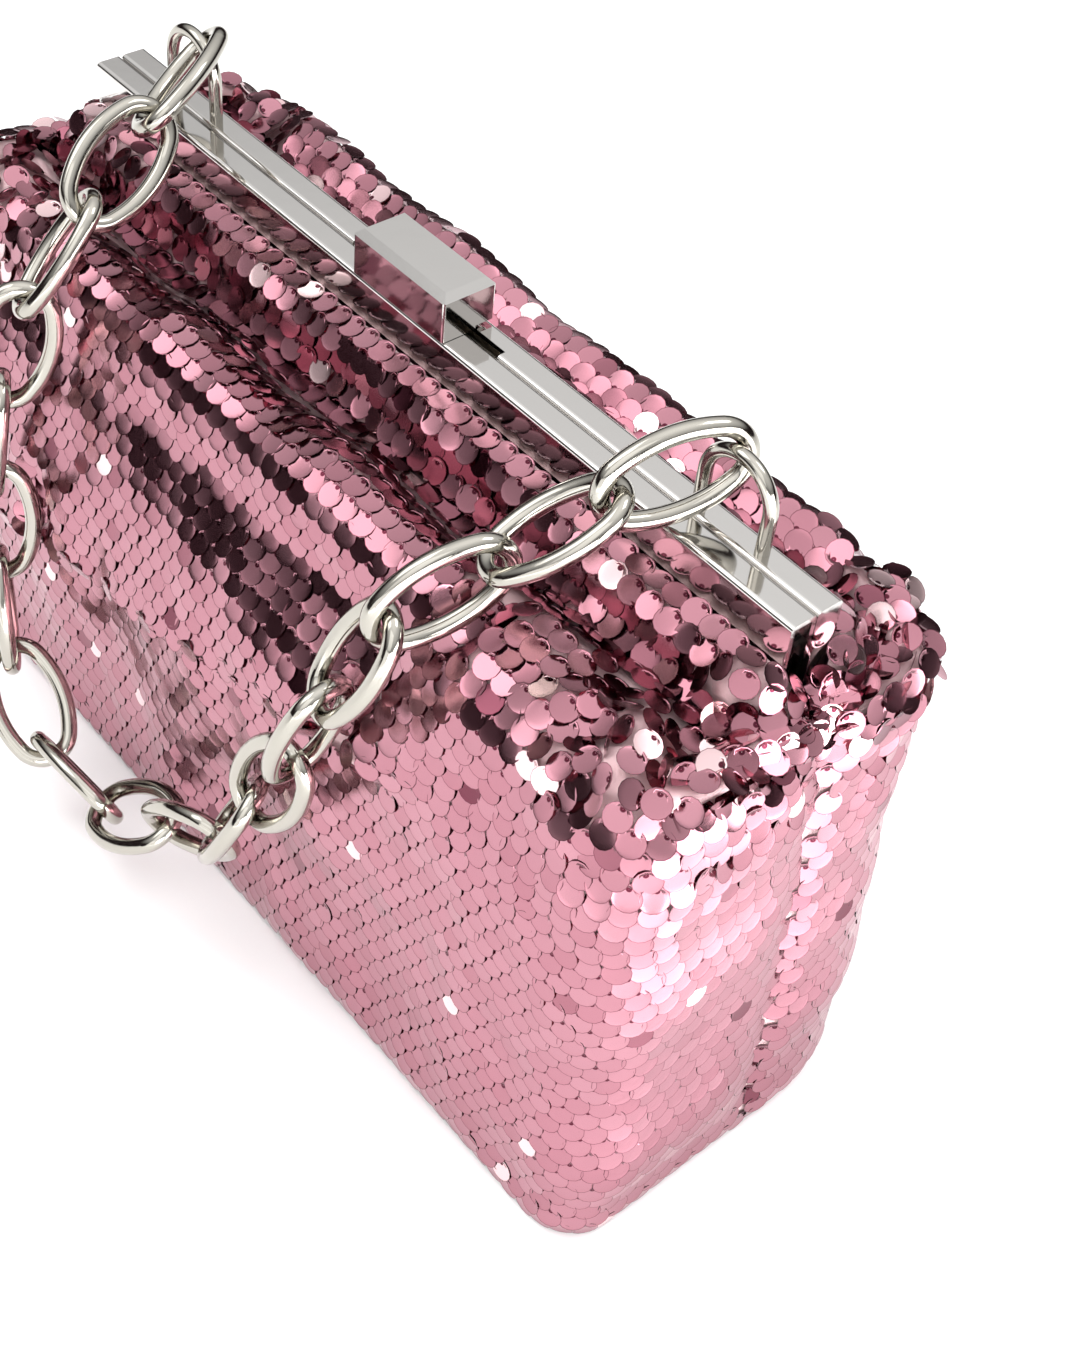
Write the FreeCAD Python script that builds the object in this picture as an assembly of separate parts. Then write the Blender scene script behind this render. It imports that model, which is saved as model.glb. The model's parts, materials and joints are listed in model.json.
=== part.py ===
import FreeCAD, Part
import math
import os

# Evening bag: a soft boxed bag on a twin-bar metal frame, with a box clasp on top
# of the frame, two wire loops and a chain strap that hangs over the front.
#
# Millimetres. +X runs along the frame, -Y is the front, +Z is up.
# The origin is the centre of the base, under the seam of the frame.

Vector = FreeCAD.Vector

# ---------------------------------------------------------------- driving dimensions
FRAME_LENGTH = 190.0      # along the bars
FRAME_TOP = 127.0         # height of the flat top of the bars
BAR_WIDTH = 5.5           # of one bar, from the seam to its outer face
BAR_DEPTH = 9.0           # height of the flanges
BAR_WALL = 0.9            # thickness of the frame metal
BAR_ROUND = 0.85          # rounding of the top edges
SEAM_GAP = 0.2            # between the two closed bars

HINGE_DROP = 23.5         # from the top of the bars down to the hinge pins
LEG_THICKNESS = 1.8
LEG_GAP = 0.4             # between the front and the rear leg at one end
EYE_RADIUS = 3.8
RIVET_RADIUS = 1.2
RIVET_HEAD_RADIUS = 2.6
RIVET_HEAD = 0.8
RUNNING_CLEARANCE = 0.05  # radial, pin in a turning eye
FIXED_CLEARANCE = 0.01    # radial, pin in an eye it does not turn in

CAP_LENGTH = 24.8
CAP_WIDTH = 11.2
CAP_HEIGHT = 9.1
CAP_WALL = 1.0
CAP_CHAMFER = 1.3
CAP_LIFT_GAP = 0.1        # under the cap's walls
CAP_REAR_GAP = 0.9        # under the rear wall, so that the cap can tilt back
CAP_PIN_RADIUS = 0.6
CAP_PIN_Y = 3.0
CAP_PIN_RISE = 1.6        # above the top of the bars
NOTCH_LENGTH = 40.0       # recess in the rear bar's seam edge, under the clasp
NOTCH_DEPTH = 1.9
TONGUE_LENGTH = 16.0

LOOP_X = 73.4             # centre of a chain loop
LOOP_SPREAD = 14.0        # between the feet of a loop
LOOP_HEIGHT = 15.2        # above the top of the bars, over the wire
LOOP_WIRE = 2.5

LINK_LENGTH = 27.6        # chain link, over the wire
LINK_WIDTH = 16.9
LINK_WIRE = 3.3
LINK_END_RADIUS = 5.4     # of the wire's centre line at the end of a link
LINK_COUNT = 18
LINK_END_REACH = 10.35    # from a link's centre to where the next link crosses it
LOOP_REACH = 8.7          # from an end link's centre to the loop's wire
HOOK_X = 70.0             # where the end links sit on the loops
HOOK_Z = 139.3
FIRST_ROLL = -27.0        # turn of the first link about the run of the chain
LINK_TWISTS = (88, 84, 88, 62, -88, 60, -84)  # of each next link on the one before
USUAL_TWIST = 88

PANEL = 2.0               # thickness of the sequinned panels
LINING = 0.8
SOFT_GAP = 0.3            # between soft layers
TOP_RADIUS = 25.2         # of the gathered fabric beside the bars, about the hinge
TOP_SHEET = 0.8
TOP_START = 17.0          # degrees from upright
TOP_END = 80.0
CHEEK_X = 97.3            # outer end of the gathered fabric
REAR_DEPTH = 38.0         # of the body, where the slip pocket hangs

HALF = FRAME_LENGTH / 2
HINGE_Z = FRAME_TOP - HINGE_DROP
BAR_BOTTOM = FRAME_TOP - BAR_DEPTH
LOOP_Y = BAR_WIDTH / 2

# Height, half length, front depth, rear depth, front and rear corner radius of the body.
BODY_LEVELS = (
    (0.0, 99.0, 38.0, 34.0, 9.0, 24.0),
    (4.0, 104.0, 41.5, 36.5, 11.0, 26.0),
    (30.0, 107.5, 43.0, 38.0, 14.0, 27.0),
    (62.0, 106.5, 43.0, 38.0, 14.0, 27.0),
    (88.0, 104.5, 40.5, 36.5, 13.0, 20.0),
    (103.0, 103.0, 33.5, 33.0, 10.0, 10.0),
    (113.0, 101.5, 28.0, 27.5, 6.0, 6.0),
)

# Line that the hanging chain follows, from the right loop to the left one.
CHAIN_ROUTE = (
    (HOOK_X, LOOP_Y, HOOK_Z),
    (63.5, -14.2, 133.8),
    (54.0, -28.5, 121.5),
    (48.0, -45.8, 111.5),
    (41.0, -51.5, 92.5),
    (35.5, -53.7, 71.5),
    (25.0, -56.0, 54.5),
    (16.0, -57.0, 37.0),
    (-1.5, -58.5, 26.5),
    (-18.0, -61.5, 17.5),
    (-34.0, -62.5, 17.0),
    (-50.0, -61.0, 27.0),
    (-58.5, -57.0, 43.5),
    (-61.5, -54.5, 63.0),
    (-61.5, -51.5, 83.0),
    (-59.5, -47.5, 103.5),
    (-57.5, -33.8, 121.3),
    (-62.0, -14.8, 133.0),
    (-HOOK_X, LOOP_Y, HOOK_Z),
)


# ------------------------------------------------------------------------ small tools
def box(x0, x1, y0, y1, z0, z1):
    """A box between two corners."""
    return Part.makeBox(x1 - x0, y1 - y0, z1 - z0, Vector(x0, y0, z0))


def rod(x0, x1, y, z, radius):
    """A cylinder along X."""
    return Part.makeCylinder(radius, x1 - x0, Vector(x0, y, z), Vector(1, 0, 0))


def mirror_x(shape):
    """The same piece at the other end of the frame."""
    return shape.mirror(Vector(0, 0, 0), Vector(1, 0, 0))


def save(name, shape):
    """Write one sub-part."""
    shape = shape.removeSplitter()
    if not shape.isValid():
        raise ValueError(name + " is not a valid solid")
    shape.exportStep("parts/" + name + ".step")


def round_section(path, point, direction, radius):
    """A round wire of this radius along a path that starts at point."""
    circle = Part.Circle(point, direction, radius)
    profile = Part.Wire([circle.toShape()])
    return Part.Wire(path).makePipeShell([profile], True, True)


# ------------------------------------------------------------------------------ frame
def channel(side):
    """One bar: an inverted channel, on the -Y side for side -1 and on +Y for +1."""
    near, far = sorted((side * SEAM_GAP / 2, side * BAR_WIDTH))
    bar = box(-HALF, HALF, near, far, BAR_BOTTOM, FRAME_TOP)
    top_edges = [e for e in bar.Edges
                 if e.BoundBox.ZMin > FRAME_TOP - 0.01 and e.BoundBox.XLength > HALF]
    bar = bar.makeFillet(BAR_ROUND, top_edges)
    hollow = box(-HALF - 1, HALF + 1, near + BAR_WALL, far - BAR_WALL,
                 BAR_BOTTOM - 1, FRAME_TOP - BAR_WALL)
    return bar.cut(hollow)


def leg(side, x0, x1, hole_radius):
    """A flat leg from the end of a bar down to its eye on the hinge."""
    top = FRAME_TOP - BAR_WALL / 2
    inner = side * 0.6
    outer = side * (BAR_WIDTH - 0.3)
    outline = [
        Vector(x0, outer, top),
        Vector(x0, inner, top),
        Vector(x0, inner, HINGE_Z),
        Vector(x0, side * EYE_RADIUS, HINGE_Z),
        Vector(x0, outer, BAR_BOTTOM),
    ]
    face = Part.Face(Part.makePolygon(outline + outline[:1]))
    plate = face.extrude(Vector(x1 - x0, 0, 0))
    plate = plate.fuse(rod(x0, x1, 0, HINGE_Z, EYE_RADIUS))
    return plate.cut(rod(x0 - 1, x1 + 1, 0, HINGE_Z, hole_radius))


REAR_LEG = (HALF - LEG_THICKNESS, HALF)
FRONT_LEG = (REAR_LEG[0] - LEG_GAP - LEG_THICKNESS, REAR_LEG[0] - LEG_GAP)


def front_frame():
    """Front bar with its two legs. The legs' eyes turn on the rivets."""
    right = leg(-1, FRONT_LEG[0], FRONT_LEG[1], RIVET_RADIUS + RUNNING_CLEARANCE)
    return channel(-1).fuse([right, mirror_x(right)])


def rear_frame():
    """Rear bar with its two legs, the clasp's recess and the holes for the loops."""
    right = leg(1, REAR_LEG[0], REAR_LEG[1], RIVET_RADIUS + FIXED_CLEARANCE)
    frame = channel(1).fuse([right, mirror_x(right)])
    notch = box(-NOTCH_LENGTH / 2, NOTCH_LENGTH / 2, 0, NOTCH_DEPTH,
                FRAME_TOP - 3.2, FRAME_TOP + 1)
    frame = frame.cut(notch)
    for x in (LOOP_X - LOOP_SPREAD / 2, LOOP_X + LOOP_SPREAD / 2):
        for side in (-1, 1):
            hole = Part.makeCylinder(LOOP_WIRE / 2 + FIXED_CLEARANCE, 6,
                                     Vector(side * x, LOOP_Y, FRAME_TOP - 3))
            frame = frame.cut(hole)
    return frame


def hinge_rivet():
    """Right hinge rivet: the pin through both legs, with a head at each end."""
    inside = FRONT_LEG[0] - 0.2
    outside = REAR_LEG[1]
    pin = rod(inside - RIVET_HEAD, outside + RIVET_HEAD, 0, HINGE_Z, RIVET_RADIUS)
    heads = [
        rod(inside - RIVET_HEAD, inside, 0, HINGE_Z, RIVET_HEAD_RADIUS),
        rod(outside, outside + RIVET_HEAD, 0, HINGE_Z, RIVET_HEAD_RADIUS),
    ]
    return pin.fuse(heads)


def chain_loop():
    """Right chain loop: a wire arch with its feet riveted under the rear bar's top."""
    half = LOOP_SPREAD / 2
    spring = FRAME_TOP + LOOP_HEIGHT - LOOP_WIRE / 2 - half
    foot = FRAME_TOP - BAR_WALL - 0.5
    start = Vector(LOOP_X - half, LOOP_Y, foot)
    left = Vector(LOOP_X - half, LOOP_Y, spring)
    crown = Vector(LOOP_X, LOOP_Y, spring + half)
    right = Vector(LOOP_X + half, LOOP_Y, spring)
    end = Vector(LOOP_X + half, LOOP_Y, foot)
    path = [Part.LineSegment(start, left).toShape(),
            Part.Arc(left, crown, right).toShape(),
            Part.LineSegment(right, end).toShape()]
    wire = round_section(path, start, Vector(0, 0, 1), LOOP_WIRE / 2)
    peened = [Part.makeCylinder(1.7, 0.8, Vector(x, LOOP_Y, FRAME_TOP - BAR_WALL - 0.8))
              for x in (LOOP_X - half, LOOP_X + half)]
    return wire.fuse(peened)


def retaining_cord(side):
    """The cord that jams the fabric inside a bar."""
    y = side * (SEAM_GAP / 2 + BAR_WIDTH) / 2
    return rod(-HALF + 6, HALF - 6, y, FRAME_TOP - 5.6, 1.45)


# ------------------------------------------------------------------------------ clasp
CAP_BOTTOM = FRAME_TOP + CAP_LIFT_GAP
CAP_TOP = FRAME_TOP + CAP_HEIGHT
CAP_PIN_Z = FRAME_TOP + CAP_PIN_RISE


def clasp_cap():
    """The box clasp: a chamfered cap over both bars, with knuckles on its rear wall."""
    half_x = CAP_LENGTH / 2
    half_y = CAP_WIDTH / 2
    cap = box(-half_x, half_x, -half_y, half_y, CAP_BOTTOM, CAP_TOP)
    cap = cap.makeChamfer(CAP_CHAMFER, [e for e in cap.Edges
                                        if e.BoundBox.ZMin > CAP_TOP - 0.01])
    uprights = [e for e in cap.Edges if e.BoundBox.ZLength > CAP_HEIGHT / 2]
    cap = cap.makeFillet(0.5, uprights)
    hollow = box(-half_x + CAP_WALL, half_x - CAP_WALL,
                 -half_y + CAP_WALL, half_y - CAP_WALL,
                 CAP_BOTTOM - 1, CAP_TOP - CAP_WALL)
    cap = cap.cut(hollow)
    rear_slot = box(-half_x - 1, half_x + 1, 1.6, half_y + 1,
                    CAP_BOTTOM - 1, FRAME_TOP + CAP_REAR_GAP)
    cap = cap.cut(rear_slot)
    for side in (-1, 1):
        x0, x1 = sorted((side * 6.6, side * (half_x - 0.5)))
        knuckle = rod(x0, x1, CAP_PIN_Y, CAP_PIN_Z, 1.2)
        web = box(x0, x1, CAP_PIN_Y, half_y - 0.5, CAP_PIN_Z - 0.6, CAP_PIN_Z + 1.2)
        cap = cap.fuse([knuckle, web])
    pin_hole = rod(-half_x + 1.5, half_x - 1.5, CAP_PIN_Y, CAP_PIN_Z,
                   CAP_PIN_RADIUS + RUNNING_CLEARANCE)
    return cap.cut(pin_hole)


def clasp_hinge_lug():
    """The lug on the rear bar that carries the clasp's pin."""
    lug = box(-4, 4, CAP_PIN_Y - 1, CAP_PIN_Y + 1, FRAME_TOP, CAP_PIN_Z)
    lug = lug.fuse(rod(-4, 4, CAP_PIN_Y, CAP_PIN_Z, 1.0))
    return lug.cut(rod(-5, 5, CAP_PIN_Y, CAP_PIN_Z, CAP_PIN_RADIUS + FIXED_CLEARANCE))


def clasp_hinge_pin():
    """The clasp's hinge pin, fixed in the lug."""
    return rod(-10.6, 10.6, CAP_PIN_Y, CAP_PIN_Z, CAP_PIN_RADIUS)


def clasp_spring():
    """A small coil round the pin that closes the cap."""
    wire = 0.2
    coil = CAP_PIN_RADIUS + 0.1 + wire
    helix = Part.makeHelix(0.5, 2.0, coil)
    profile = Part.Wire([Part.Circle(Vector(coil, 0, 0), Vector(0, 1, 0), wire).toShape()])
    spring = Part.Wire(helix).makePipeShell([profile], True, True)
    spring.rotate(Vector(0, 0, 0), Vector(0, 1, 0), 90)
    spring.translate(Vector(4.3, CAP_PIN_Y, CAP_PIN_Z))
    return spring


def catch_tongue():
    """The tongue on the front bar's seam face that the clasp holds."""
    half = TONGUE_LENGTH / 2
    plate = box(-half, half, -SEAM_GAP / 2, 1.4, FRAME_TOP - 2.6, FRAME_TOP - 0.4)
    edge = [e for e in plate.Edges
            if e.BoundBox.ZMin > FRAME_TOP - 0.5 and e.BoundBox.YMin > 1.3]
    return plate.makeFillet(0.6, edge)


def catch_leaf():
    """The bent leaf inside the cap whose bead rides over the tongue."""
    under_roof = CAP_TOP - CAP_WALL
    leaf = box(-5, 5, -3.4, -0.4, under_roof - 0.4, under_roof)
    leaf = leaf.fuse(box(-5, 5, -3.4, -3.0, FRAME_TOP + 1.2, under_roof))
    return leaf.fuse(rod(-5, 5, -2.9, FRAME_TOP + 1.2, 0.7))


# ------------------------------------------------------------------------------ chain
def oval_link():
    """One link, flat in the XY plane, long along X: a four-arc oval of round wire."""
    half_length = (LINK_LENGTH - LINK_WIRE) / 2
    half_width = (LINK_WIDTH - LINK_WIRE) / 2
    end = LINK_END_RADIUS
    centre = half_length - end
    side = (centre ** 2 + half_width ** 2 - end ** 2) / (2 * (half_width - end))
    turn = math.atan2(centre, side - half_width)
    blend = Vector(centre + end * math.sin(turn), end * math.cos(turn), 0)

    def flip(point, x_sign, y_sign):
        return Vector(point.x * x_sign, point.y * y_sign, 0)

    corners = [flip(blend, 1, -1), blend, flip(blend, -1, 1), flip(blend, -1, -1)]
    middles = [Vector(half_length, 0, 0), Vector(0, half_width, 0),
               Vector(-half_length, 0, 0), Vector(0, -half_width, 0)]
    arcs = [Part.Arc(corners[i], middles[i], corners[(i + 1) % 4]).toShape()
            for i in range(4)]
    heading = Vector(math.cos(turn), math.sin(turn), 0)
    return round_section(arcs, corners[0], heading, LINK_WIRE / 2)


def route_samples():
    """Closely spaced points along the chain's line."""
    corners = [Vector(*point) for point in CHAIN_ROUTE]
    return Part.makePolygon(corners).discretize(Number=4000)


def walk(points, pitch):
    """Crossing points at equal pitch, and what is left over at the far loop."""
    first = LOOP_REACH + pitch / 2
    crossings = [points[0]]
    reach = first
    for point in points:
        if point.distanceToPoint(crossings[-1]) >= reach:
            crossings.append(point)
            reach = pitch
            if len(crossings) == LINK_COUNT:
                return crossings, point.distanceToPoint(points[-1]) - first
    return crossings, -1.0


def crossing_points():
    """Where each link crosses the next, from loop to loop, with the pitch that fits."""
    points = route_samples()
    low, high = LINK_LENGTH * 0.6, LINK_LENGTH
    for _ in range(40):
        pitch = (low + high) / 2
        if walk(points, pitch)[1] > 0:
            low = pitch
        else:
            high = pitch
    print("chain pitch", round(low, 2), "of at most", 2 * LINK_END_REACH)
    return walk(points, low)[0] + [points[-1]]


def chain_links():
    """All the links where they hang, each one twisted against the one before it."""
    crossings = crossing_points()
    twists = [FIRST_ROLL] + list(LINK_TWISTS)
    twists += [USUAL_TWIST * (-1) ** i for i in range(LINK_COUNT - len(twists))]
    normal = Vector(0, -1, 0)
    links = []
    for i in range(LINK_COUNT):
        start, end = crossings[i], crossings[i + 1]
        along = (end - start).normalize()
        centre = (start + end) / 2
        slack = (LINK_END_REACH - LOOP_REACH) / 2
        if i == 0:
            centre = centre - along * slack
        if i == LINK_COUNT - 1:
            centre = centre + along * slack
        normal = (normal - along * normal.dot(along)).normalize()
        roll = math.radians(twists[i])
        normal = normal * math.cos(roll) + along.cross(normal) * math.sin(roll)
        width = normal.cross(along)
        frame = FreeCAD.Matrix(
            along.x, width.x, normal.x, centre.x,
            along.y, width.y, normal.y, centre.y,
            along.z, width.z, normal.z, centre.z,
            0, 0, 0, 1)
        link = oval_link()
        link.Placement = FreeCAD.Placement(frame)
        links.append(link)
    return links


# --------------------------------------------------------------------------- soft bag
def plan_wire(height, half_length, front, rear, front_radius, rear_radius):
    """A rounded rectangle at one height, with its own radius at the front and the rear."""
    x, y0, y1, z = half_length, -front, rear, height
    r, q = front_radius, rear_radius
    d = r * (1 - math.sqrt(0.5))
    e = q * (1 - math.sqrt(0.5))
    arcs = (
        ((x - r, y0), (x - d, y0 + d), (x, y0 + r)),
        ((x, y1 - q), (x - e, y1 - e), (x - q, y1)),
        ((-x + q, y1), (-x + e, y1 - e), (-x, y1 - q)),
        ((-x, y0 + r), (-x + d, y0 + d), (-x + r, y0)),
    )
    edges = []
    for i, (a, b, c) in enumerate(arcs):
        following = arcs[(i + 1) % 4][0]
        edges.append(Part.Arc(Vector(*a, z), Vector(*b, z), Vector(*c, z)).toShape())
        edges.append(Part.LineSegment(Vector(*c, z), Vector(*following, z)).toShape())
    return Part.Wire(edges)


def body_solid(inset, floor):
    """The bag's body, taken in by inset all round and cut off below floor."""
    wires = [plan_wire(z, *[size - inset for size in sizes]) for z, *sizes in BODY_LEVELS]
    solid = Part.makeLoft(wires, True, False)
    if floor > 0:
        solid = solid.cut(box(-200, 200, -200, 200, -50, floor))
    return solid


def half_shell(side, outside, inside, floor):
    """Front or rear half of the wall between two depths below the surface."""
    shell = body_solid(outside, floor).cut(body_solid(inside, floor))
    if side < 0:
        return shell.common(box(-200, 200, -200, 0, -50, 200))
    return shell.common(box(-200, 200, 0, 200, -50, 200))


def base_panel():
    """The sequinned base, inside the lower edge of the walls."""
    return body_solid(0, 0).common(box(-200, 200, -200, 200, -1, PANEL))


def base_board():
    """The stiffener in the base."""
    floor = PANEL + SOFT_GAP
    board = box(-90, 90, -33, 28, floor, floor + 1.6)
    return board.makeFillet(14, [e for e in board.Edges if e.BoundBox.ZLength > 1])


def lining_half(side):
    """Half of the lining pouch: the wall and its half of the floor."""
    outside = PANEL + SOFT_GAP
    floor = PANEL + 2 * SOFT_GAP + 1.6
    wall = half_shell(side, outside, outside + LINING, floor)
    slab = body_solid(outside + LINING, floor)
    slab = slab.common(box(-200, 200, -200, 200, floor, floor + LINING))
    half_space = box(-200, 200, *sorted((0, side * 200)), 0, 200)
    return wall.fuse(slab.common(half_space))


def slip_pocket():
    """A flat pocket hanging against the rear lining."""
    back = REAR_DEPTH - PANEL - SOFT_GAP - LINING
    pocket = box(-45, 45, back - 1.9, back - 1.1, 22, 76)
    return pocket.makeFillet(6, [e for e in pocket.Edges
                                 if e.BoundBox.YLength > 0.5 and e.BoundBox.ZMax < 23])


def top_fabric(side):
    """The fabric gathered from a bar to the shoulder, round the hinge's axis."""
    start, end = TOP_START, TOP_END
    outer = Part.makeCylinder(TOP_RADIUS, 2 * CHEEK_X, Vector(-CHEEK_X, 0, HINGE_Z),
                              Vector(1, 0, 0))
    inner_x = CHEEK_X - TOP_SHEET
    inner = rod(-inner_x, inner_x, 0, HINGE_Z, TOP_RADIUS - TOP_SHEET)

    def direction(degrees):
        angle = math.radians(degrees)
        return Vector(0, side * math.sin(angle), math.cos(angle)) * 60

    hub = Vector(-150, 0, HINGE_Z)
    wedge = Part.Face(Part.makePolygon([hub, hub + direction(start),
                                        hub + direction((start + end) / 2),
                                        hub + direction(end), hub]))
    wedge = wedge.extrude(Vector(300, 0, 0))
    cheek_room = rod(-120, 120, 0, HINGE_Z, EYE_RADIUS + 2)
    roll = outer.cut(inner).common(wedge).cut(cheek_room)
    web_bottom = BAR_BOTTOM - TOP_SHEET
    reach = math.sqrt((TOP_RADIUS - TOP_SHEET / 2) ** 2 - (web_bottom - HINGE_Z) ** 2)
    near, far = sorted((side * 0.6, side * reach))
    web = box(-inner_x - 0.1, inner_x + 0.1, near, far, web_bottom, BAR_BOTTOM)
    x0, x1 = FRONT_LEG[0] - 0.6, REAR_LEG[1] + 0.6
    slot_near, slot_far = sorted((0, side * (BAR_WIDTH + 0.6)))
    for end_side in (-1, 1):
        a, b = sorted((end_side * x0, end_side * x1))
        web = web.cut(box(a, b, slot_near, slot_far, web_bottom - 1, BAR_BOTTOM + 1))
    return roll.fuse(web)


# ------------------------------------------------------------------------------- main
def main():
    os.makedirs("parts", exist_ok=True)
    save("front_frame", front_frame())
    save("rear_frame", rear_frame())
    save("hinge_rivet_right", hinge_rivet())
    save("hinge_rivet_left", mirror_x(hinge_rivet()))
    save("chain_loop_right", chain_loop())
    save("chain_loop_left", mirror_x(chain_loop()))
    save("front_retaining_cord", retaining_cord(-1))
    save("rear_retaining_cord", retaining_cord(1))
    save("clasp_cap", clasp_cap())
    save("clasp_hinge_lug", clasp_hinge_lug())
    save("clasp_hinge_pin", clasp_hinge_pin())
    save("clasp_spring", clasp_spring())
    save("catch_tongue", catch_tongue())
    save("catch_leaf", catch_leaf())
    save("front_panel", half_shell(-1, 0, PANEL, PANEL))
    save("rear_panel", half_shell(1, 0, PANEL, PANEL))
    save("base_panel", base_panel())
    save("base_board", base_board())
    save("front_lining", lining_half(-1))
    save("rear_lining", lining_half(1))
    save("slip_pocket", slip_pocket())
    save("front_top_fabric", top_fabric(-1))
    save("rear_top_fabric", top_fabric(1))
    for number, link in enumerate(chain_links(), start=1):
        save("chain_link_%02d" % number, link)


main()
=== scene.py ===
"""Looks of the evening bag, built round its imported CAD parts. Millimetres inside, metres out.

+X runs along the frame, -Y is the front and +Z is up. The sequinned cloth is a grid wrapped
round the body, from the frame down to the base, once for the front half and once for the rear.
"""
import json
import math

import bpy
import numpy as np
from mathutils import Matrix, Vector


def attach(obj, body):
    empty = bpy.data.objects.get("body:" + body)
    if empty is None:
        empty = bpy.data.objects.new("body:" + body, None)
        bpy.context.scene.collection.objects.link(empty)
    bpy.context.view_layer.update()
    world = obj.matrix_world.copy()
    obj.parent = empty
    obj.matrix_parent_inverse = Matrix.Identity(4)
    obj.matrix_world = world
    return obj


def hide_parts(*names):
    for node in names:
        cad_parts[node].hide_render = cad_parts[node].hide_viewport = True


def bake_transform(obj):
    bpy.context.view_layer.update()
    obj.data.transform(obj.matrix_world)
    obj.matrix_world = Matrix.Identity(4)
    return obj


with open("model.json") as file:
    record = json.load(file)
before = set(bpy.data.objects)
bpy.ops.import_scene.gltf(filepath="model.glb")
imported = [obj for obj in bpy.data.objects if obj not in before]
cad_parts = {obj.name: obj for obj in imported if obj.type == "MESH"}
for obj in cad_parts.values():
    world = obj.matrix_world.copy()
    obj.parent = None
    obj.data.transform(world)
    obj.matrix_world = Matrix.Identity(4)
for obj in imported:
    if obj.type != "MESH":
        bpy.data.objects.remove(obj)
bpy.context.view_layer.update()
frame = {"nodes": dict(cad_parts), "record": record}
rng = np.random.default_rng(12)

MM = 0.001
ALONG = 420               # grid steps round one half of the cloth
DOWN = 170                # grid steps from the frame to the base
SEQUIN_RADIUS = 2.5
ROW_PITCH = 3.4           # between rows of sequins
LOWEST_ROW = 2.2          # from the base edge up the cloth to the lowest row
HIGHEST_ROW = 0.8         # the nearest that a row may come to the frame
SEQUIN_PITCH = 4.15       # between sequins in a row
SEQUIN_TILT = 4.8         # degrees that a sequin's lower edge stands off the cloth
SEQUIN_LEAN = 1.8         # degrees that one side edge stands over its neighbour
SEQUIN_SIDES = 14
CREASE_HEIGHT = 65.0      # of the fold across the front panel, at the middle
CREASE_BULGE = 4.4        # that the cloth above the fold stands out
SHOULDER_SLACK = 4.6      # that the shoulder above it sinks in
LINING_GAP = 1.6          # from the cloth in to the lining
CHAIN_ROOM = 2.6          # that the cloth keeps under the chain lying on it
VALLEY_REACH = 17.0       # from the frame down the cloth to the dip beside it
BACKDROP_REACH = 3000.0    # from the bag to the white wall round the floor
BACKDROP_SIDES = 64
FLOOR_REACH = 5000.0       # from the bag to the floor's edge
PIECES_PER_HALF = 3       # sequin meshes in each half

# One sequin from its edge to its hole: radius, height and centre as parts of its radius,
# and how dark it is there, as painted shade: a dark rim for the shadow along its edge, and a
# dark hole.
SEQUIN_RINGS = (
    (1.0, 0.030, 0.0, 1.0),
    (0.935, 0.024, 0.0, 0.0),
    (0.66, 0.008, 0.06, 0.0),
    (0.22, 0.008, 0.62, 0.0),
    (0.18, 0.008, 0.62, 1.0),
    (0.02, 0.008, 0.62, 1.0),
)

# The cloth's outline at each level, from the frame down: height, half length, front depth,
# rear depth, front and rear corner radius, and how much lower it is at the two ends.
LEVELS = np.array([
    (118.6, 96.3, 5.9, 5.9, 2.5, 2.5, 12.0),
    (118.8, 97.0, 8.2, 8.5, 4.0, 4.0, 10.5),
    (117.2, 97.8, 11.2, 12.0, 6.0, 6.0, 8.0),
    (112.2, 98.6, 13.4, 15.5, 7.0, 8.0, 3.5),
    (108.8, 99.2, 16.6, 18.5, 8.0, 10.0, 0.6),
    (110.8, 100.3, 21.4, 22.0, 9.0, 13.0, 1.6),
    (113.0, 101.3, 26.5, 26.5, 10.0, 16.0, 3.0),
    (111.8, 102.1, 32.5, 30.5, 11.0, 18.0, 3.0),
    (106.5, 103.0, 37.8, 34.0, 12.0, 20.0, 1.0),
    (97.0, 103.8, 41.5, 36.5, 13.0, 23.0, 0.0),
    (80.0, 105.0, 43.6, 38.3, 14.0, 27.0, 0.0),
    (56.0, 106.2, 44.4, 39.0, 14.0, 28.0, 0.0),
    (30.0, 107.2, 44.6, 38.8, 13.0, 28.0, 0.0),
    (12.0, 107.4, 44.8, 38.0, 11.0, 28.0, 0.0),
    (4.0, 107.0, 44.6, 37.0, 10.0, 28.0, 0.0),
    (0.8, 106.0, 43.6, 36.0, 9.5, 27.0, 0.0),
])


# ------------------------------------------------------------------------- small tools
def smooth(t):
    """0 below 0, 1 above 1, and an even rise between."""
    t = np.clip(t, 0, 1)
    return t * t * (3 - 2 * t)


def ripple(x, y, size, seed):
    """Gentle unevenness of about -1 to 1, with bumps of this size."""
    phases = np.random.default_rng(seed)
    total = 0
    for _ in range(6):
        heading = phases.uniform(0, math.pi)
        scale = 2 * math.pi / (size * phases.uniform(0.7, 1.5))
        offset = phases.uniform(0, 2 * math.pi)
        total = total + np.sin(scale * (x * math.cos(heading) + y * math.sin(heading)) + offset)
    return total / 3.0


def bump(value, centre, width):
    """1 at the centre, falling away over the width."""
    return np.exp(-((value - centre) / width) ** 2)


def unit(vectors):
    return vectors / np.maximum(np.linalg.norm(vectors, axis=-1, keepdims=True), 1e-9)


def add_mesh(name, points, faces, material, smooth_shading=True):
    """A mesh object from points in millimetres."""
    mesh = bpy.data.meshes.new(name)
    mesh.from_pydata((points * MM).tolist(), [], faces)
    mesh.validate()
    if smooth_shading:
        mesh.polygons.foreach_set("use_smooth", [True] * len(mesh.polygons))
    mesh.materials.append(material)
    obj = bpy.data.objects.new(name, mesh)
    bpy.context.collection.objects.link(obj)
    return obj


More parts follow.
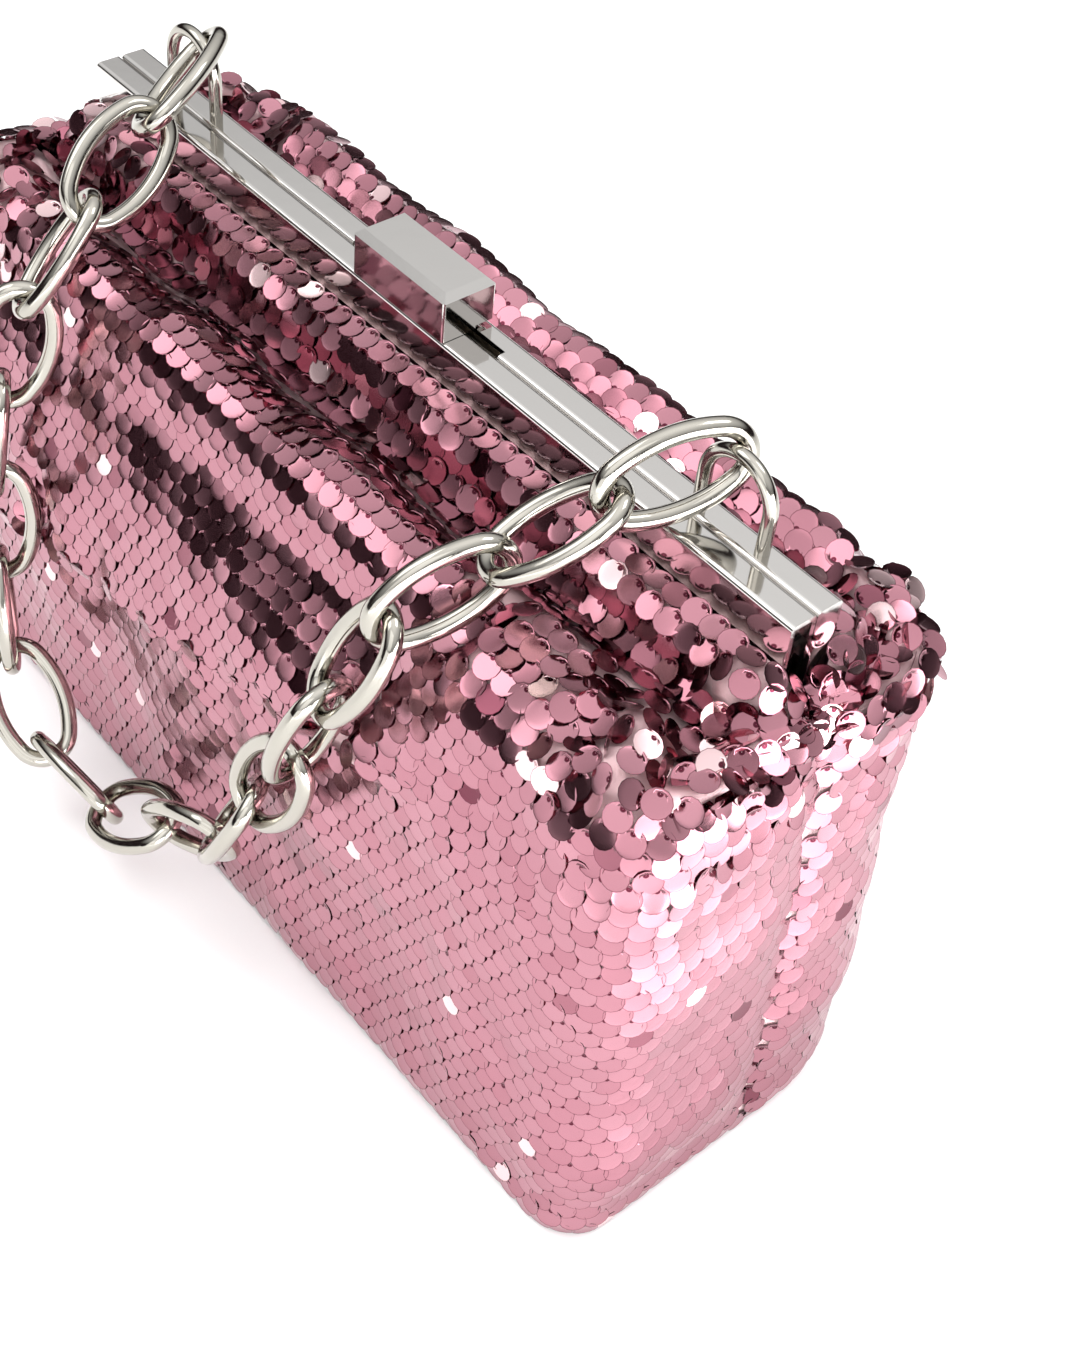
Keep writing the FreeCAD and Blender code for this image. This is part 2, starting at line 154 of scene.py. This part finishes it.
# --------------------------------------------------------------------------- materials
def new_material(name):
    """A node material, with its tree and its shader."""
    material = bpy.data.materials.new(name)
    material.use_nodes = True
    tree = material.node_tree
    return material, tree, tree.nodes["Principled BSDF"]


def metal(name, color, roughness, grain):
    """Polished plated metal with a very faint unevenness."""
    material, tree, shader = new_material(name)
    shader.inputs["Base Color"].default_value = (*color, 1)
    shader.inputs["Metallic"].default_value = 1.0
    shader.inputs["Roughness"].default_value = roughness
    coords = tree.nodes.new("ShaderNodeTexCoord")
    noise = tree.nodes.new("ShaderNodeTexNoise")
    noise.inputs["Scale"].default_value = 160
    noise.inputs["Detail"].default_value = 2
    lumps = tree.nodes.new("ShaderNodeBump")
    lumps.inputs["Strength"].default_value = grain
    lumps.inputs["Distance"].default_value = 0.0004
    tree.links.new(coords.outputs["Object"], noise.inputs["Vector"])
    tree.links.new(noise.outputs["Fac"], lumps.inputs["Height"])
    tree.links.new(lumps.outputs["Normal"], shader.inputs["Normal"])
    return material


def cloth(name, color, weave, roughness):
    """Plain woven cloth: fine crossing threads and a slow change of tone."""
    material, tree, shader = new_material(name)
    shader.inputs["Roughness"].default_value = roughness
    shader.inputs["Sheen Weight"].default_value = 0.3
    coords = tree.nodes.new("ShaderNodeTexCoord")
    noise = tree.nodes.new("ShaderNodeTexNoise")
    noise.inputs["Scale"].default_value = 90
    ramp = tree.nodes.new("ShaderNodeValToRGB")
    ramp.color_ramp.elements[0].color = (*[c * 0.82 for c in color], 1)
    ramp.color_ramp.elements[1].color = (*[min(1, c * 1.12) for c in color], 1)
    threads = tree.nodes.new("ShaderNodeTexWave")
    threads.inputs["Scale"].default_value = weave
    threads.inputs["Distortion"].default_value = 0.6
    lumps = tree.nodes.new("ShaderNodeBump")
    lumps.inputs["Strength"].default_value = 0.35
    lumps.inputs["Distance"].default_value = 0.0003
    tree.links.new(coords.outputs["Object"], noise.inputs["Vector"])
    tree.links.new(coords.outputs["Object"], threads.inputs["Vector"])
    tree.links.new(noise.outputs["Fac"], ramp.inputs["Fac"])
    tree.links.new(ramp.outputs["Color"], shader.inputs["Base Color"])
    tree.links.new(threads.outputs["Fac"], lumps.inputs["Height"])
    tree.links.new(lumps.outputs["Normal"], shader.inputs["Normal"])
    return material


def sequin_metal():
    """Pink metallised film. Each sequin carries a tone from 0 to 1: random on most sequins,
    painted shade in the valley by the frame, and a few painted dark reflections and painted
    highlights. The rim and the hole of each sequin are darkened as painted shade.
    """
    material, tree, shader = new_material("sequin")
    shader.inputs["Metallic"].default_value = 1.0
    shader.inputs["Roughness"].default_value = 0.17
    tone = tree.nodes.new("ShaderNodeAttribute")
    tone.attribute_name = "tone"
    ramp = tree.nodes.new("ShaderNodeValToRGB")
    stops = ramp.color_ramp
    # Painted light in the ramp: its dark end paints shade and dark reflections, its bright end
    # paints highlights; the middle is the film's own pink.
    stops.elements[0].color = (0.13, 0.03, 0.05, 1)
    stops.elements[1].position = 0.97
    stops.elements[1].color = (0.92, 0.66, 0.68, 1)
    for position, color in ((0.12, (0.385, 0.163, 0.203, 1)), (0.85, (0.465, 0.23, 0.274, 1))):
        stop = stops.elements.new(position)
        stop.color = color
    # Painted shade: the edge attribute marks each sequin's rim and hole, which are mixed to near
    # black.
    edge = tree.nodes.new("ShaderNodeAttribute")
    edge.attribute_name = "edge"
    darken = tree.nodes.new("ShaderNodeMix")
    darken.data_type = "RGBA"
    darken.inputs[7].default_value = (0.10, 0.02, 0.035, 1)
    tree.links.new(tone.outputs["Fac"], ramp.inputs["Fac"])
    tree.links.new(edge.outputs["Fac"], darken.inputs[0])
    tree.links.new(ramp.outputs["Color"], darken.inputs[6])
    tree.links.new(darken.outputs[2], shader.inputs["Base Color"])
    return material


FRAME_METAL = metal("nickel_frame", (0.66, 0.64, 0.62), 0.075, 0.05)
CHAIN_METAL = metal("nickel_chain", (0.44, 0.42, 0.375), 0.12, 0.12)
SPRING_STEEL = metal("spring_steel", (0.55, 0.55, 0.56), 0.3, 0.1)
NET = cloth("net", (0.74, 0.50, 0.52), 1400, 0.8)
# Painted shade: the base cloth is dark so that its strip below the sequins reads as shadow.
BASE_SHADE_CLOTH = cloth("base_shade_cloth", (0.36, 0.13, 0.17), 1400, 0.7)
LINING = cloth("lining", (0.60, 0.30, 0.34), 1800, 0.45)
BOARD = cloth("board", (0.10, 0.09, 0.09), 600, 0.8)
CORD = cloth("paper_cord", (0.55, 0.47, 0.35), 900, 0.8)
SEQUIN = sequin_metal()


# ------------------------------------------------------------------------ cloth surface
def level_values(v):
    """The columns of LEVELS at fractions v from the frame to the base, by arc length."""
    steps = np.hypot(np.diff(LEVELS[:, 0]), np.diff(LEVELS[:, 2]))
    reach = np.concatenate(([0], np.cumsum(steps)))
    at = np.asarray(v) * reach[-1]
    index = np.clip(np.searchsorted(reach, at) - 1, 0, len(reach) - 2)
    span = (reach[index + 1] - reach[index])[:, None]
    t = ((at - reach[index])[:, None]) / span
    slopes = np.gradient(LEVELS, reach, axis=0)
    a, b = LEVELS[index], LEVELS[index + 1]
    ma, mb = slopes[index] * span, slopes[index + 1] * span
    return ((2 * t**3 - 3 * t**2 + 1) * a + (t**3 - 2 * t**2 + t) * ma
            + (3 * t**2 - 2 * t**3) * b + (t**3 - t**2) * mb)


def outline(u, v, side):
    """Points of the plain wrapped surface. u runs from the right side to the left one."""
    z, half, front, rear, front_corner, rear_corner, drop = level_values(v).T[:, :, None]
    depth, corner = (front, front_corner) if side < 0 else (rear, rear_corner)
    near = np.minimum(u, 1 - u)[None, :]
    turn = np.clip((near - 0.12) / 0.09, 0, 1) * math.pi / 2
    straight = np.clip(near / 0.12, 0, 1) * (depth - corner)
    x = half - corner + corner * np.cos(turn)
    y = straight + corner * np.sin(turn)
    inward = np.clip((near - 0.21) / 0.29, 0, 1)
    x = x - inward * (half - corner)
    x = np.where(u[None, :] > 0.5, -x, x)
    height = z - drop * smooth(1 - near / 0.21)
    return np.stack([x, side * y, height + 0 * x], axis=-1)


def folds(points, u, reach, side):
    """How far the cloth stands out of the plain surface, in millimetres."""
    x = points[..., 0]
    near = np.minimum(u, 1 - u)[None, :]
    along = x + 40 * side
    free = smooth(reach / 10) * smooth(near / 0.07)
    out = 0.9 * ripple(along, reach, 46, 3) + 0.35 * ripple(along, reach, 17, 4)
    ends = bump(np.abs(x), 96, 20) * bump(reach, 28, 18)
    out = out + ends * (2.4 * ripple(along, reach, 13, 5) - 0.6)
    if side < 0:
        crease = CREASE_HEIGHT + 0.25 * x
        above = points[..., 2] - crease
        bulge = smooth((above + 1.5) / 5) * (1 - smooth((above - 4) / 26))
        slack = bump(points[..., 2], 99, 11)
        middle = smooth((64 - x) / 26) * smooth((x + 96) / 20)
        out = out + (CREASE_BULGE * bulge - SHOULDER_SLACK * slack) * middle
        out = out + 0.45 * ripple(x, reach, 26, 8) * smooth(above / 6) * smooth((reach - 24) / 8)
    seam = -1.6 * bump(near, 0, 0.022) * smooth(reach / 25)
    base = smooth((reach[-1:] - reach) / 10)
    return out * free * base + seam * base


def normals_of(points, side):
    """Outward normals of a grid of points."""
    across = np.gradient(points, axis=1)
    down = np.gradient(points, axis=0)
    return unit(np.cross(across, down) * -side)


def cloth_grid(side):
    """The folded cloth of one half: points, outward normals and distance down the cloth."""
    u = np.linspace(0, 1, ALONG + 1)
    v = np.linspace(0, 1, DOWN + 1)
    plain = outline(u, v, side)
    middle = plain[:, ALONG // 2]
    reach = np.concatenate(([0], np.cumsum(np.linalg.norm(np.diff(middle, axis=0), axis=1))))
    normals = normals_of(plain, side)
    offset = folds(plain, u, reach[:, None], side)
    points = plain + normals * offset[..., None]
    if side < 0:
        points = under_chain(points, normals_of(points, side))
    points[..., 2] = np.maximum(points[..., 2], 0.5)
    return points, normals_of(points, side), reach


def under_chain(points, normals):
    """The cloth pressed in where the hanging chain lies on it."""
    links = [node for name, node in frame["nodes"].items() if name.startswith("chain_link")]
    wire = np.concatenate([np.array([tuple(vertex.co) for vertex in node.data.vertices])
                           for node in links]) / MM
    press = np.zeros(points.shape[:2])
    cell = 6.0
    nearby = {}
    for vertex in wire:
        nearby.setdefault(tuple(np.floor(vertex / cell).astype(int)), []).append(vertex)
    nearby = {key: np.array(group) for key, group in nearby.items()}
    cells = np.floor(points / cell).astype(int)
    for i in range(points.shape[0]):
        for j in range(points.shape[1]):
            a, b, c = cells[i, j]
            for key in ((a + p, b + q, c + r) for p in (-1, 0, 1) for q in (-1, 0, 1)
                        for r in (-1, 0, 1)):
                group = nearby.get(key)
                if group is None:
                    continue
                offset = group - points[i, j]
                height = offset @ normals[i, j]
                aside = np.sum(offset * offset, axis=1) - height * height
                close = aside < 9.0
                if close.any():
                    press[i, j] = max(press[i, j], CHAIN_ROOM - height[close].min())
    for _ in range(6):
        press = np.maximum(press, blurred(press))
    return points - normals * press[..., None]


def blurred(values):
    """The average of each value and its neighbours on the grid."""
    padded = np.pad(values, 1, mode="edge")
    return (padded[1:-1, 1:-1] * 4 + padded[:-2, 1:-1] + padded[2:, 1:-1]
            + padded[1:-1, :-2] + padded[1:-1, 2:]) / 8


def grid_faces(rows, columns, flip):
    """Quads of a grid of points."""
    faces = []
    for i in range(rows - 1):
        for j in range(columns - 1):
            a = i * columns + j
            quad = (a, a + 1, a + columns + 1, a + columns)
            faces.append(quad[::-1] if flip else quad)
    return faces


# ----------------------------------------------------------------------------- sequins
def sequin_shape():
    """One sequin with its stitching hole near the top: points, quads and the painted shade of
    its rim and hole.
    """
    turn = np.arange(SEQUIN_SIDES) * 2 * math.pi / SEQUIN_SIDES + math.pi / 2
    circle = np.stack([np.cos(turn), np.sin(turn)], axis=1)
    points, shade = [], []
    for radius, rise, centre, dark in SEQUIN_RINGS:
        ring = circle * radius * SEQUIN_RADIUS
        ring[:, 1] += centre * SEQUIN_RADIUS
        height = np.full(SEQUIN_SIDES, rise * SEQUIN_RADIUS)
        points.append(np.column_stack([ring, height]))
        shade.append(np.full(SEQUIN_SIDES, dark))
    quads = []
    for ring in range(len(SEQUIN_RINGS) - 1):
        for i in range(SEQUIN_SIDES):
            j = (i + 1) % SEQUIN_SIDES
            a = ring * SEQUIN_SIDES
            quads.append((a + i, a + j, a + SEQUIN_SIDES + j, a + SEQUIN_SIDES + i))
    return np.concatenate(points), np.array(quads), np.concatenate(shade)


def stitch_points(points, reach):
    """Where the sequins are sewn: (row, column) places on the grid, and each one's row."""
    places = []
    lowest = reach[-1] - LOWEST_ROW
    rows = int((lowest - HIGHEST_ROW) / ROW_PITCH) + 1
    for row in range(rows):
        at = lowest - row * ROW_PITCH
        i = np.interp(at, reach, np.arange(len(reach)))
        low = int(i)
        line = points[low] + (points[min(low + 1, DOWN)] - points[low]) * (i - low)
        length = np.concatenate(([0], np.cumsum(np.linalg.norm(np.diff(line, axis=0), axis=1))))
        middle = length[ALONG // 2]
        first = middle % SEQUIN_PITCH + (0.5 * SEQUIN_PITCH if row % 2 else 0)
        steps = np.arange(first - SEQUIN_PITCH, length[-1], SEQUIN_PITCH)
        steps = steps[steps > 0.5]
        steps = steps + rng.normal(0, 0.16, len(steps))
        columns = np.interp(steps, length, np.arange(len(length)))
        places.append(np.column_stack([np.full(len(columns), i), columns]))
    return np.concatenate(places)


def sample(grid, places):
    """Values of a grid between its points."""
    i = np.clip(places[:, 0], 0, DOWN - 1e-6)
    j = np.clip(places[:, 1], 0, ALONG - 1e-6)
    a, b = i.astype(int), j.astype(int)
    s, t = (i - a)[:, None], (j - b)[:, None]
    return ((grid[a, b] * (1 - s) + grid[a + 1, b] * s) * (1 - t)
            + (grid[a, b + 1] * (1 - s) + grid[a + 1, b + 1] * s) * t)


def unruly(centres, reach_at):
    """How disturbed the sequins are, from 0 on the flat panel to 1 by the frame's ends."""
    x = np.abs(centres[:, 0])
    ends = bump(x, 98, 24) * bump(reach_at, 26, 26)
    top = 0.30 * bump(reach_at, 14, 16)
    return np.clip(ends + top + 0.02, 0, 1)


def sequins(name, points, normals, reach):
    """All the sequins of one half, in a few meshes."""
    places = stitch_points(points, reach)
    centres = sample(points, places)
    normal = unit(sample(normals, places))
    down = unit(sample(np.gradient(points, axis=0), places))
    down = unit(down - normal * np.sum(down * normal, axis=1, keepdims=True))
    reach_at = np.interp(places[:, 0], np.arange(len(reach)), reach)
    wild = unruly(centres, reach_at)
    count = len(centres)
    spin = np.radians(rng.normal(0, 7, count) + wild * rng.normal(0, 35, count))
    tip = np.radians(SEQUIN_TILT + rng.normal(0, 1.1, count) + wild * rng.normal(5, 15, count))
    lean = np.radians(SEQUIN_LEAN + rng.normal(0, 0.9, count) + wild * rng.normal(0, 14, count))
    right = np.cross(down, normal)
    across = right * np.cos(spin)[:, None] + down * np.sin(spin)[:, None]
    up = -(down * np.cos(spin)[:, None] - right * np.sin(spin)[:, None])
    facing = unit(normal + up * np.tan(tip)[:, None] + across * np.tan(lean)[:, None])
    up = unit(up - facing * np.sum(up * facing, axis=1, keepdims=True))
    across = np.cross(up, facing)
    valley = bump(reach_at, VALLEY_REACH, 6.5)
    lift = 0.5 + 0.9 * wild + 0.7 * valley + rng.uniform(0, 0.12, count)
    middle = centres + normal * lift[:, None]
    shape, quads, shade = sequin_shape()
    vertices = (middle[:, None] + shape[None, :, :1] * across[:, None]
                + shape[None, :, 1:2] * up[:, None] + shape[None, :, 2:] * facing[:, None])
    vertices[..., 2] = np.maximum(vertices[..., 2], 0.3)
    tone = np.clip(rng.normal(0.5, 0.13, count), 0.14, 0.84)
    # Painted shade: sequins in the dip beside the frame are darkened, by up to nine tenths of
    # their tone.
    tone = tone * (1 - 0.9 * valley)
    # Painted dark reflections: a few sequins, more where they are disturbed, are made nearly
    # black.
    tone = np.where(rng.random(count) < 0.012 + 0.12 * wild, rng.uniform(0, 0.1, count), tone)
    # Painted highlights: a few sequins, more where they are disturbed, are made nearly white.
    tone = np.where(rng.random(count) < 0.008 + 0.10 * wild, rng.uniform(0.95, 1, count), tone)
    made = []
    for part in range(PIECES_PER_HALF):
        chosen = np.arange(count) % PIECES_PER_HALF == part
        block = vertices[chosen]
        total = len(block)
        starts = np.arange(total)[:, None, None] * len(shape)
        faces = (quads[None] + starts).reshape(-1, 4).tolist()
        obj = add_mesh(f"{name}_{part + 1}", block.reshape(-1, 3), faces, SEQUIN)
        # tone carries the random tone with the painted shade, dark reflections and highlights
        # above; edge carries the painted shade of rim and hole.
        for label, values in (("tone", np.repeat(tone[chosen], len(shape))),
                              ("edge", np.tile(shade, total))):
            layer = obj.data.attributes.new(label, "FLOAT", "POINT")
            layer.data.foreach_set("value", values.astype(np.float32))
        made.append(obj)
    return made


# ---------------------------------------------------------------------------- soft bag
def lining_surface(points, normals, side):
    """The lining: the cloth taken in, with its half of the pouch's floor."""
    walls = points - normals * LINING_GAP
    walls = walls[6:]
    walls[..., 2] = np.maximum(walls[..., 2], 5.0)
    rim = walls[-1]
    floor = [rim * np.array([1 - t, 1 - t, 1]) for t in (0.1, 0.4, 1.0)]
    return np.concatenate([walls, np.array(floor)])


def half_bag(name, side):
    """Cloth, sequins and lining of one half."""
    points, normals, reach = cloth_grid(side)
    faces = grid_faces(DOWN + 1, ALONG + 1, side > 0)
    skin = add_mesh(f"{name}_cloth", points.reshape(-1, 3), faces, NET)
    discs = sequins(f"{name}_sequins", points, normals, reach)
    inner = lining_surface(points, normals, side)
    rows, columns = inner.shape[:2]
    lining = add_mesh(f"{name}_lining_cloth", inner.reshape(-1, 3),
                      grid_faces(rows, columns, side < 0), LINING)
    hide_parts(f"{name}_panel", f"{name}_top_fabric")
    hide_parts(f"{name}_lining")
    return skin, discs, lining


front_skin, front_discs, front_lining = half_bag("front", -1)
rear_skin, rear_discs, rear_lining = half_bag("rear", 1)

for piece in [front_skin, front_lining, *front_discs]:
    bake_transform(piece)
for piece in [rear_skin, rear_lining, *rear_discs]:
    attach(piece, "bag")

# -------------------------------------------------------------------- finish of the CAD
# The panels and top fabrics are replaced, so the base is the only sequin_cloth node left.
FINISHES = {
    "frame_metal": FRAME_METAL,
    "chain_metal": CHAIN_METAL,
    "spring_steel": SPRING_STEEL,
    # The base gets the dark cloth, which is painted shade.
    "sequin_cloth": BASE_SHADE_CLOTH,
    "lining_cloth": LINING,
    "stiffener": BOARD,
    "paper_cord": CORD,
}
for entry in frame["record"]["subparts"]:
    node = frame["nodes"][entry["node"]]
    node.data.materials.clear()
    node.data.materials.append(FINISHES[entry["material_slot"]])


# ------------------------------------------------------------------------------- stage
def floor_material():
    """Matt white."""
    material, _, shader = new_material("white_floor")
    shader.inputs["Base Color"].default_value = (0.90, 0.90, 0.90, 1)
    shader.inputs["Roughness"].default_value = 0.7
    return material


def backdrop():
    """A white wall that only the camera sees. The bag mirrors the dark horizon behind it."""
    turn = np.arange(BACKDROP_SIDES) * 2 * math.pi / BACKDROP_SIDES
    ring = np.column_stack([np.cos(turn), np.sin(turn), 0 * turn]) * BACKDROP_REACH
    points = np.concatenate([ring, ring + (0, 0, BACKDROP_REACH)])
    faces = []
    for i in range(BACKDROP_SIDES):
        j = (i + 1) % BACKDROP_SIDES
        faces.append((i, j, BACKDROP_SIDES + j, BACKDROP_SIDES + i))
    material, _, shader = new_material("white_wall")
    shader.inputs["Base Color"].default_value = (0, 0, 0, 1)
    shader.inputs["Emission Color"].default_value = (1, 1, 1, 1)
    shader.inputs["Emission Strength"].default_value = 0.95
    wall = add_mesh("backdrop", points, faces, material, smooth_shading=False)
    wall.visible_diffuse = False
    wall.visible_glossy = False
    wall.visible_transmission = False
    wall.visible_shadow = False
    return wall


def place_lamp(name, lamp, place, target, power):
    """A lamp of this power that faces its target."""
    lamp.energy = power
    obj = bpy.data.objects.new(name, lamp)
    bpy.context.collection.objects.link(obj)
    obj.location = place
    obj.rotation_euler = (Vector(target) - Vector(place)).to_track_quat("-Z", "Y").to_euler()
    return obj


def area_light(name, place, target, size, power):
    """A square soft lamp."""
    lamp = bpy.data.lights.new(name, "AREA")
    lamp.size = size
    return place_lamp(name, lamp, place, target, power)


def spot_light(name, place, target, cone, power):
    """A narrow lamp that brightens a patch of the floor, which the cloth then mirrors."""
    lamp = bpy.data.lights.new(name, "SPOT")
    lamp.spot_size = math.radians(cone)
    lamp.spot_blend = 1.0
    lamp.shadow_soft_size = 0.05
    return place_lamp(name, lamp, place, target, power)


def sky():
    """A room that is bright overhead and nearly black round the horizon."""
    world = bpy.data.worlds.new("studio")
    bpy.context.scene.world = world
    world.use_nodes = True
    tree = world.node_tree
    background = tree.nodes["Background"]
    coords = tree.nodes.new("ShaderNodeTexCoord")
    split = tree.nodes.new("ShaderNodeSeparateXYZ")
    ramp = tree.nodes.new("ShaderNodeValToRGB")
    stops = ramp.color_ramp
    stops.elements[0].position = 0.0
    stops.elements[0].color = (0.026, 0.018, 0.02, 1)
    stops.elements[1].position = 1.0
    stops.elements[1].color = (1.8, 1.8, 1.8, 1)
    for position, color in ((0.26, (0.030, 0.020, 0.022)), (0.40, (0.42, 0.42, 0.42)),
                            (0.56, (0.86, 0.86, 0.86)), (0.80, (1.20, 1.20, 1.20))):
        stop = stops.elements.new(position)
        stop.color = (*color, 1)
    tree.links.new(coords.outputs["Generated"], split.inputs["Vector"])
    tree.links.new(split.outputs["Z"], ramp.inputs["Fac"])
    tree.links.new(ramp.outputs["Color"], background.inputs["Color"])
    background.inputs["Strength"].default_value = 0.95


corners = np.array([(-1, -1, 0), (1, -1, 0), (1, 1, 0), (-1, 1, 0)])
floor = add_mesh("floor", corners * FLOOR_REACH, [(0, 1, 2, 3)], floor_material(),
                 smooth_shading=False)
backdrop()
sky()
key = area_light("key", (-0.75, -0.20, 1.75), (0, 0, 0.05), 1.3, 18)
key.visible_glossy = False    # it lights the floor, and nothing mirrors it
area_light("sparkle", (0.40, 0.55, 1.40), (0.08, 0, 0.10), 0.5, 3)
area_light("fill", (0.55, -1.20, 1.25), (0, 0, 0.05), 1.2, 4)
area_light("glare_front", (0.25, -0.75, 0.12), (0.09, -0.04, 0.09), 0.5, 1.4)
area_light("overhead", (-1.00, -0.95, 1.75), (0, 0, 0.10), 1.2, 9)
spot_light("bounce", (0.30, 0.15, 0.90), (0.27, 0.0, 0.0), 14, 150)
area_light("glare_end", (0.62, 0.02, 0.10), (0.10, -0.02, 0.09), 0.4, 4)
area_light("glare_corner", (0.60, -0.45, 0.10), (0.10, -0.02, 0.09), 0.4, 4)

camera_data = bpy.data.cameras.new("camera")
camera_data.lens = 53.04
camera_data.sensor_width = 36
camera_data.clip_start = 0.01
camera = bpy.data.objects.new("camera", camera_data)
bpy.context.collection.objects.link(camera)
right = Vector((0.64581, 0.75859, 0.08643))
up = Vector((-0.58736, 0.42131, 0.69102))
back = Vector((0.48778, -0.49703, 0.71765))
turned = Matrix((right, up, back)).transposed().to_4x4()
camera.matrix_world = Matrix.Translation((0.2173, -0.1814, 0.3285)) @ turned
bpy.context.scene.camera = camera
bpy.context.scene.view_settings.view_transform = "Standard"
